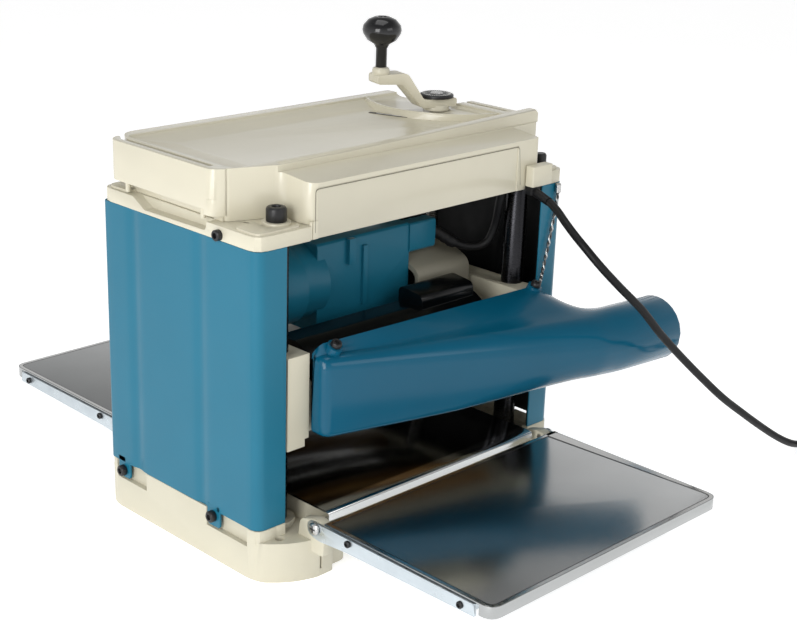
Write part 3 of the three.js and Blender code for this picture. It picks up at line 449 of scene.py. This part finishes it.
def rounded(points, steps=5):
    """Outline with round corners: each point is (x, y) or (x, y, radius)."""
    line = []
    count = len(points)
    for i, point in enumerate(points):
        corner = Vector(point[:2])
        wanted = point[2] if len(point) > 2 else 0
        before = Vector(points[i - 1][:2]) - corner
        after = Vector(points[(i + 1) % count][:2]) - corner
        reach = min(wanted, before.length * 0.49, after.length * 0.49)
        if reach < 1e-6:
            line.append(corner)
            continue
        start = corner + before.normalized() * reach
        end = corner + after.normalized() * reach
        for k in range(steps + 1):
            t = k / steps
            line.append(start * (1 - t) ** 2 + corner * 2 * t * (1 - t) + end * t * t)
    return line


def prism(
    name, points, z0, z1, material, body, bevel=0.6, place=FLAT, segments=2, angle=30
):
    """Outline in a plane, extruded from z0 to z1 and moved by place."""
    line = rounded(points)
    count = len(line)
    vertices = [place @ Vector((p.x, p.y, z)) for z in (z0, z1) for p in line]
    faces = [[i, (i + 1) % count, count + (i + 1) % count, count + i] for i in range(count)]
    faces += [list(range(count))[::-1], list(range(count, 2 * count))]
    made = finish_piece(name, mesh_of(name, vertices, faces), material, body)
    return rounded_edges(made, bevel, segments, angle) if bevel else made


def slab(name, lo, hi, material, body, bevel):
    """Box between two corners with softened edges."""
    points = [(lo[0], lo[1]), (hi[0], lo[1]), (hi[0], hi[1]), (lo[0], hi[1])]
    return prism(name, points, lo[2], hi[2], material, body, bevel)


def marks(name, outlines, z0, z1, material, body, slot, place=FLAT):
    """Many small flat marks as one piece: four-point outlines in a plane, extruded from z0 to z1."""
    block = ((3, 2, 1, 0), (4, 5, 6, 7), (0, 1, 5, 4), (1, 2, 6, 5), (2, 3, 7, 6), (3, 0, 4, 7))
    vertices, faces = [], []
    for outline in outlines:
        base = len(vertices)
        vertices += [place @ Vector((x, y, z)) for z in (z0, z1) for x, y in outline]
        faces += [[base + v for v in face] for face in block]
    return finish_piece(name, mesh_of(name, vertices, faces), material, body)


# ---------------------------------------------------------------- power cord
CORD = {"radius": 4.25, "length": 2350}
CORD_ROUTE = [
    (150.5, -157.3, 330.6), (145.5, -173, 325), (139, -189, 318), (134.5, -206, 309), (133.5, -223, 298),
    (139, -240, 281.5), (158, -252, 258.5), (186, -261, 231), (215, -268, 198.5), (247, -275, 167),
    (280, -282, 136.5), (313, -289, 107.5), (349, -294, 81), (387, -298, 54.5), (422, -300.5, 32),
    (452, -301.5, 16), (478, -300.5, 7), (503, -297, 4.6), (526, -292.7, 4.6), (547, -291.1, 4.6),
]
COIL = Vector((548, -356, 0))
# Turns so far, radius and height of the cord's centre round the coil.
COIL_COURSE = [
    (0.0, 64.9, 4.6), (0.19, 55.9, 4.6), (2.19, 38.6, 4.6), (2.47, 38.6, 13.3), (4.4, 55.4, 13.3),
    (4.7, 51.2, 20.8), (5.2, 51.2, 20.8), (5.3, 55.8, 20.4), (5.4, 64.3, 12.6), (5.5, 64.9, 4.6),
]
TAIL_ROUTE = [(530, -421.6, 4.8), (514, -422.6, 8), (502, -423, 11.8)]


def coil_line(step=1 / 28):
    """The cord's turns: clockwise from the far side, in and out again, laid a diameter apart."""
    line = []
    for (t0, r0, z0), (t1, r1, z1) in zip(COIL_COURSE, COIL_COURSE[1:]):
        steps = max(1, round((t1 - t0) / step))
        for k in range(steps):
            share = k / steps
            ease = share * share * (3 - 2 * share) if t1 - t0 < 0.5 else share
            angle = math.pi / 2 - 2 * math.pi * (t0 + (t1 - t0) * share)
            radius = r0 + (r1 - r0) * ease
            x, y, z = radius * math.cos(angle), radius * math.sin(angle), z0 + (z1 - z0) * ease
            line.append(COIL + Vector((x, y, z)))
    return line


def power_cord():
    tail = smooth_line([COIL + Vector((-1, -64.9, 4.6)), *TAIL_ROUTE], 3)
    line = smooth_line(CORD_ROUTE, 4)[:-1] + coil_line() + tail
    radius = CORD["radius"]
    vertices, faces = sweep(line, lambda k, share: circle(radius, 14))
    mesh = mesh_of("power_cord_run", vertices, faces)
    cord = finish_piece("power_cord_run", mesh, "cord_rubber", "root")
    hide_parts("power_cord", "power_cord_coil", "power_cord_tail")


power_cord()


# ---------------------------------------------------------------- CAD nodes that stay
def soften(node, material, width=1.0, segments=2, angle=28, flat=1.0):
    """Gives a CAD node its material and rounds its edges, without touching its mesh."""
    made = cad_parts[node]
    made.data.materials.clear()
    made.data.materials.append(MATERIALS[material])
    made.data.shade_smooth()
    weld = made.modifiers.new("weld", "WELD")
    weld.merge_threshold = 0.00001
    if flat:
        plane = made.modifiers.new("whole faces", "DECIMATE")
        plane.decimate_type = "DISSOLVE"
        plane.angle_limit = math.radians(flat)
    if width:
        rounded_edges(made, width, segments, angle)
    return made


def dress_cad():
    soften("base_casting", "cream_cast", 1.6)
    soften("bed_plate", "bed_steel", 0.5)
    for corner in CORNERS:
        soften(f"column_{corner}", "column_steel_painted_shade", 0.3, angle=50)
        soften(f"column_cap_{corner}", "black_plastic", 0.5, angle=40)
        soften(f"pivot_screw_{corner}", "steel", 0.3, angle=40)
    soften("top_frame", "cream_paint", 1.2)
    soften("top_cover", "cream_gloss", 1.4, 3)
    for side in ("left", "right"):
        soften(f"lead_nut_{side}", "brass", 0.3, angle=50)
        soften(f"lead_screw_{side}", "threaded_steel", 0.2, angle=50)
        soften(f"hood_screw_{side}", "black_plastic", 0.3, angle=50)
        for end in ("front", "rear"):
            soften(f"cover_screw_{side}_{end}", "black_plastic", 0.3, angle=50)
    soften("head_casting", "cream_cast", 1.2)
    soften("motor_housing", "cover_blue", 2.0, 3)
    # The gear case gets the darkened cream as painted shade.
    soften("gear_case", "cream_painted_shade", 1.5)
    soften("chip_cover", "chip_black", 1.5, 3)
    soften("dust_hood", "gloss_blue", 0.8, 3, angle=40, flat=0)
    soften("cutter_drum", "turned_steel", 0.3)
    for knife in ("upper", "lower"):
        soften(f"knife_{knife}", "mirror_steel", 0.2)
    soften("motor_rotor", "dark_iron", 0.3, angle=50)
    soften("drive_belt", "cord_rubber", 0.3)
    soften("roller_chain", "dark_iron", 0.3)
    for side in ("outfeed", "infeed"):
        soften(f"{side}_roller_shaft", "turned_steel", 0.3, angle=50)
        soften(f"{side}_roller_sleeve", "roller_rubber", 0.5, angle=50)
        soften(f"{side}_table_plate", "table_steel", 0.8, 3)
        soften(f"{side}_table_frame", "zinc_steel", 0.6)
    soften("crank_arm", "cream_paint", 1.2)
    soften("crank_cap", "black_plastic", 0.4)
    soften("crank_knob", "knob_plastic", 0.5, angle=50)
    soften("switch_box", "black_plastic", 0.8)
    soften("switch_paddle", "black_plastic", 0.8)
    soften("cord_block", "cream_paint", 0.8)
    soften("cord_guard", "cord_rubber", 0.5)
    soften("power_plug", "cord_rubber", 0.5, angle=40)


dress_cad()


# ---------------------------------------------------------------- sheet metal side covers
def side_face(y, inset):
    """The cover's outer face, with its two soft flutes, as a distance from the centre."""
    flutes = sum(1.9 * math.exp(-(((y - at) / 7) ** 2)) for at in FLUTES)
    return BODY_X - inset - flutes


def cover_corner(inset, round_, way):
    """Round corner of the cover's outline, towards +Y (way 1) or -Y (way -1)."""
    y = COVER_Y - inset
    r = round_ - inset
    turn = [(math.cos(a), math.sin(a)) for a in (math.radians(d) for d in range(-90, 1, 15))]
    return [(BODY_X - inset - r + r * c, way * (y - r - r * k)) for c, k in turn]


def cover_outline(inset):
    y = COVER_Y - inset
    front = cover_corner(inset, COVER_FRONT_ROUND, -1)
    rise = [(side_face(v, inset), v) for v in range(-104, 105, 4)]
    rear = cover_corner(inset, COVER_REAR_ROUND, 1)[::-1]
    return [(COVER_LIP, -y), *front, *rise, *rear, (COVER_LIP, y)]


def cover_skin(name, sign, outside, inside, z0, z1, material, bevel):
    """Skin between two insets from the cover's outer face."""
    line = cover_outline(outside) + cover_outline(inside)[::-1]
    place = Matrix.Diagonal((sign, 1, 1, 1))
    return prism(name, line, z0, z1, material, "root", bevel, place=place, angle=50)


def side_covers():
    for side, sign in SIDES:
        sheet = (0, COVER_SKIN, BASE_TOP, COVER_TOP)
        shell = cover_skin(f"cover_shell_{side}", sign, *sheet, "cover_blue", 0.45)
        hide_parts(f"side_cover_{side}")
        # A near-black sheet just inside each cover's skin is painted shade for the dark inside of the
        # machine.
        shade_layer = (COVER_SKIN + 0.05, 2.9, BASE_TOP + 1, COVER_TOP - 1)
        cover_skin(f"cover_inner_shade_{side}", sign, *shade_layer, "inner_painted_shade", 0)
        x0, x1 = sorted((sign * (BODY_X - 2.6), sign * BODY_X))
        for y in COVER_TABS:
            top = BASE_TOP + 6
            outline = [(y - 10, 36.5, 4), (y + 10, 36.5, 4), (y + 10, top), (y - 10, top)]
            name = f"cover_tab_{side}_{y}"
            prism(name, outline, x0, x1, "cover_blue", "root", 0.6, ALONG_X)


side_covers()


# ---------------------------------------------------------------- tether and motor lead
TETHER_COURSE = [
    (205, -124.8, 335.6), (201, -125, 308), (193, -125.4, 272), (184, -126.5, 240), (179, -127.8, 228),
]
LEAD_COURSE = [
    (100.4, -33, 281), (104, -33, 281), (113, -38, 275), (126, -50, 265), (142, -60, 261),
    (154, -70, 267), (158, -77, 288), (154, -84, 310), (152, -89, 328), (152, -89, 335.6),
]
STRAND_RADIUS = 1.05
BOOT_SHARE = 0.33  # share of the lead that the thick boot at the motor covers


def hood_tether():
    """Two-strand steel cable from the deck to the hood."""
    line = smooth_line(TETHER_COURSE, 24)
    vertices, faces = [], []
    for strand in range(2):
        twist = []
        for k, point in enumerate(line):
            a = math.pi * strand + k * 0.62
            twist.append(point + Vector((math.cos(a), math.sin(a), 0)) * STRAND_RADIUS)
        strand_vertices, strand_faces = sweep(twist, lambda k, share: circle(STRAND_RADIUS, 8))
        base = len(vertices)
        vertices += strand_vertices
        faces += [[base + i for i in face] for face in strand_faces]
    mesh = mesh_of("tether_cable", vertices, faces)
    cable = finish_piece("tether_cable", mesh, "steel", None, 50)
    cable.data.materials.append(MATERIALS["dark_strand_and_shade_line"])
    half = len(cable.data.polygons) // 2
    for face in cable.data.polygons[half:]:
        face.material_index = 1
    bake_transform(cable)
    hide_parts("hood_tether")
    sleeve = [(0, 0), (3.2, 0), (3.2, 9), (2.4, 10), (0, 10)]
    at = (203.6, -124.8, 326)
    turned("tether_ferrule_top", sleeve, at, (0, 0, 1), "steel", "root", 20)


def motor_lead():
    """Thick ribbed boot at the motor, then the lead itself, up to the deck."""
    line = smooth_line(LEAD_COURSE, 8)

    def section(k, share):
        boot = 6.9 if k % 3 == 0 else 6.4
        return circle(boot if share < BOOT_SHARE else 4.4, 14)

    vertices, faces = sweep(line, section)
    mesh = mesh_of("motor_lead_run", vertices, faces)
    lead = finish_piece("motor_lead_run", mesh, "cord_rubber", None, 60)
    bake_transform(lead)
    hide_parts("motor_lead")


hood_tether()
motor_lead()


# ---------------------------------------------------------------- small parts
def socket_screw(name, at, axis, body, radius, height, material="black_plastic"):
    """Screw head with a socket, standing on at and pointing along axis."""
    r, h = radius, height
    crown = [(0, 0), (r, 0), (r, h - 0.8), (r - 0.8, h)]
    socket = [(r * 0.55, h), (r * 0.5, h * 0.45), (0, h * 0.45)]
    return turned(name, crown + socket, at, axis, material, body, 24)


def cross_recess(name, at, sign, body):
    """Painted shade in the shape of the cross of a cross-recessed screw, on its head."""
    x, y, z = at
    bars = [
        [(y - dy, z - dz), (y + dy, z - dz), (y + dy, z + dz), (y - dy, z + dz)]
        for dy, dz in ((3.6, 0.7), (0.7, 3.6))
    ]
    marks(name, bars, *sorted((x, x + sign * 0.25)), "dark_iron", body, "steel", ALONG_X)


ENDS = (("outfeed", -1), ("infeed", 1))
ARM_FACE = 174.2
ARM_SCREWS = ((204, 60.5), (350, 58.5))  # distance from the centre, and height
PIVOT = {"y": 157, "z": 59}


def table_details():
    for end, sign in ENDS:
        for side in (-1, 1):
            for k, (y, z) in enumerate(ARM_SCREWS):
                name = f"{end}_arm_screw_{side}_{k}"
                at = (side * ARM_FACE, sign * y, z)
                socket_screw(name, at, (side, 0, 0), f"{end}_table", 3.6, 2.6)
    for corner in CORNERS:
        screw = f"pivot_screw_{corner}"
        side = 1 if middle(screw).x > 0 else -1
        x = high(screw).x if side > 0 else low(screw).x
        y = math.copysign(PIVOT["y"], middle(screw).y)
        cross_recess(f"pivot_cross_{corner}", (x, y, PIVOT["z"]), side, "root")


def top_outline(node, inset):
    """Outline of a plate's top face, moved inwards."""
    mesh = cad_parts[node].data
    top = max(v.co.z for v in mesh.vertices)
    points = [v.co.xy / M for v in mesh.vertices if top - v.co.z < 1e-5]
    loop = [points[i] for i in convex_hull_2d(points)]
    count = len(loop)
    moved = []
    for i, point in enumerate(loop):
        ahead = (loop[(i + 1) % count] - point).normalized()
        behind = (point - loop[i - 1]).normalized()
        inwards = Vector((-(ahead + behind).y, (ahead + behind).x)).normalized()
        share = max(0.3, inwards.dot(Vector((-ahead.y, ahead.x))))
        moved.append(point + inwards * inset / share)
    return moved


def edging(name, node, near, far, rise, material, body):
    """Flat band that runs round a plate's top face, between two insets."""
    outside, inside = top_outline(node, near), top_outline(node, far)
    z = high(node).z
    bands = []
    for i in range(len(outside)):
        j = (i + 1) % len(outside)
        bands.append([outside[i], outside[j], inside[j], inside[i]])
    marks(name, bands, z - 0.2, z + rise, material, body, "steel")


def table_edges():
    """Painted highlight as a bright band round each table's edge, with a thin line of painted shade inside
    it.
    """
    highlight_rim, shade_line = HIGHLIGHT_RIM_START + HIGHLIGHT_RIM_WIDTH, HIGHLIGHT_RIM_START + HIGHLIGHT_RIM_WIDTH + SHADE_LINE_WIDTH
    for end, _ in ENDS:
        node, body = f"{end}_table_plate", f"{end}_table"
        edging(f"{end}_rim", node, HIGHLIGHT_RIM_START, highlight_rim, 0.12, "scale_steel_and_rim_highlight", body)
        edging(f"{end}_seam", node, highlight_rim, shade_line, 0.1, "dark_strand_and_shade_line", body)


def seam_course(inset):
    """Left side, top and right side of the fascia's panel, in X-Z."""
    corners = [(-147, 343, 0), (-147, 385, 4), (140, 385, 4), (144, 343, 0)]
    moved = []
    for x, z, radius in corners:
        moved.append((x - math.copysign(inset, x), z - (inset if radius else 0), radius))
    return [tuple(p) for p in rounded(moved)]


def fascia_seam():
    """Painted shade drawn as a fine dark line round the panel in the fascia, where its groove runs."""
    y = low("top_cover").y
    outside, inside = seam_course(0), seam_course(0.7)
    strips = [[a, b, d, c] for a, b, c, d in zip(outside, outside[1:], inside, inside[1:])]
    marks("fascia_seam", strips, y - 0.03, y + 0.2, "seam_shade", "root", "cream_paint", ALONG_Y)


UP = (0, 0, 1)
TRAY_FLOOR = 392.9
# Line along the arrow that shows which way the crank lowers the head.
ARROW = [(104, 70), (107.2, 62), (111, 50), (116.5, 36), (123, 23), (128, 16)]


def ribbon(line, dx, dy, tip):
    """Outline that follows a line at a distance on both sides, and ends in a tip."""
    left = [(x - dx, y - dy) for x, y in line]
    right = [(x + dx, y + dy) for x, y in reversed(line)]
    return [*left, tip, *right]


def deck_details():
    peg = [(0, 0), (2.6, 0), (2.6, 9), (1.8, 10), (0, 10)]
    for side in (-1, 1):
        for y in PEG_PLACES:
            at = (side * 213, y, 351.2)
            turned(f"handle_peg_{side}_{y}", peg, at, UP, "cream_paint", "root", 20)
        at = (side * BODY_X, -66.5, 341.5)
        socket_screw(f"deck_screw_{side}", at, (side, 0, 0), "root", 5.4, 5.6)
    stud = [(0, 0), (6, 0), (6.4, 1), (6.4, 12), (5, 14), (0, 14)]
    turned("deck_stud", stud, (197, -103, 352.4), UP, "black_plastic", "root", 20)
    plate = ribbon(ARROW, 2.6, 1.2, (133.5, 6))
    z = TRAY_FLOOR
    prism("arrow_plate", plate, z, z + 0.5, "black_plastic", "root", 0)
    mark = ribbon(ARROW[1:-1], 0.8, 0.4, (129, 12))
    prism("arrow_mark", mark, z + 0.5, z + 0.7, "dial_white", "root", 0)


TICKS = 40
KNOB_SEAT = 440.5


def crank_details():
    """Dial on the crank's cap, and the collar under its knob."""
    hub = middle("crank_cap")
    top = high("crank_cap").z
    ticks = []
    for k in range(TICKS):
        a = 2 * math.pi * k / TICKS
        start, end = (10.5 if k % 5 == 0 else 13.2), 16.4
        along = Vector((math.cos(a), math.sin(a)))
        across = Vector((-math.sin(a), math.cos(a))) * 0.4
        corners = ((start, -1), (end, -1), (end, 1), (start, 1))
        ticks.append([hub.xy + along * r + across * side for r, side in corners])
    marks("dial_ticks", ticks, top - 0.1, top + 0.18, "dial_white", "crank", "black_plastic")
    boss = [(0, 0), (7, 0), (6.4, 1.2), (0, 1.4)]
    turned("dial_boss", boss, (hub.x, hub.y, top - 0.1), UP, "steel", "crank", 32)
    knob = middle("crank_knob")
    collar = [(3.2, 0), (9, 0), (9.6, 1.5), (9.6, 6), (8.4, 8), (3.2, 8), (3.2, 0)]
    at = (knob.x, knob.y, KNOB_SEAT)
    turned("knob_collar", collar, at, UP, "cream_paint", "crank", 32)


SCALE = {"left": 184, "right": 196, "bottom": 110, "top": 300, "step": 5, "lines": 37}


def depth_scale():
    """Scale on the right cover's infeed lip, and its pointer on the head."""
    left, right, bottom, top = (SCALE[key] for key in ("left", "right", "bottom", "top"))
    y = COVER_Y + 0.05
    slab("depth_scale", (left, y, bottom), (right, y + 0.7, top), "scale_steel_and_rim_highlight", "root", 0.2)
    lines = []
    for k in range(SCALE["lines"]):
        z = bottom + SCALE["step"] * (k + 1)
        x0, x1 = left + 0.6, left + (6.6 if k % 2 == 0 else 4.1)
        lines.append([(x0, z), (x1, z), (x1, z + 0.6), (x0, z + 0.6)])
    black = "black_plastic"
    marks("scale_lines", lines, y + 0.65, y + 0.85, black, "root", black, ALONG_Y)
    face = high("head_casting").y
    slab("pointer_foot", (161, face - 0.1, 171), (175, y + 1.1, 189), black, "head", 0.4)
    tip = [(178, 178), (189.5, 180), (178, 182)]
    arm = [(160, 170, 3), (176, 170, 2), *tip, (176, 190, 2), (160, 190, 3)]
    prism("depth_pointer", arm, y + 1.05, y + 1.9, black, "head", 0.2, ALONG_Y)
    socket_screw("pointer_screw", (168, y + 1.85, 180), (0, 1, 0), "head", 3, 2.2, "steel")


def switch_mark():
    face = high("switch_paddle").y
    lo, hi = (-108, face - 1.5, 374.5), (-86, face - 0.1, 375.5)
    slab("switch_bar_on", lo, hi, "dial_white", "switch", 0.2)


table_details()
table_edges()
fascia_seam()
deck_details()
crank_details()
depth_scale()
switch_mark()


# ---------------------------------------------------------------- studio
def softbox(name, at, aim, size, watts):
    lamp = bpy.data.lights.new(name, "AREA")
    lamp.shape = "RECTANGLE"
    lamp.size, lamp.size_y = (s * M for s in size)
    lamp.energy = watts
    made = bpy.data.objects.new(name, lamp)
    made.location = Vector(at) * M
    made.rotation_euler = (Vector(at) - Vector(aim)).to_track_quat("Z", "Y").to_euler()
    bpy.context.scene.collection.objects.link(made)


def studio():
    half = 6000
    corners = [(-half, -half, 0), (half, -half, 0), (half, half, 0), (-half, half, 0)]
    floor = mesh_of("floor", corners, [[0, 1, 2, 3]])
    finish_piece("floor", floor, "floor", None)
    world = bpy.data.worlds.new("studio")
    world.use_nodes = True
    tree = world.node_tree
    where = tree.nodes.new("ShaderNodeTexCoord")
    parts = tree.nodes.new("ShaderNodeSeparateXYZ")
    tree.links.new(where.outputs["Generated"], parts.inputs["Vector"])
    strength = spread(tree, parts.outputs["Z"], 0.95, 0.22, 0.1, 0.75)
    tree.links.new(strength, tree.nodes["Background"].inputs["Strength"])
    tree.nodes["Background"].inputs["Color"].default_value = (1, 1, 1, 1)
    bpy.context.scene.world = world
    softbox("key", (-2000, -700, 900), (0, 0, 200), (1000, 1300), 25)
    softbox("front", (300, -1900, 1300), (50, -50, 200), (1200, 800), 5)
    softbox("top", (0, 100, 2000), (50, -50, 200), (1200, 1200), 8)


studio()
bpy.context.scene.view_settings.view_transform = "Standard"
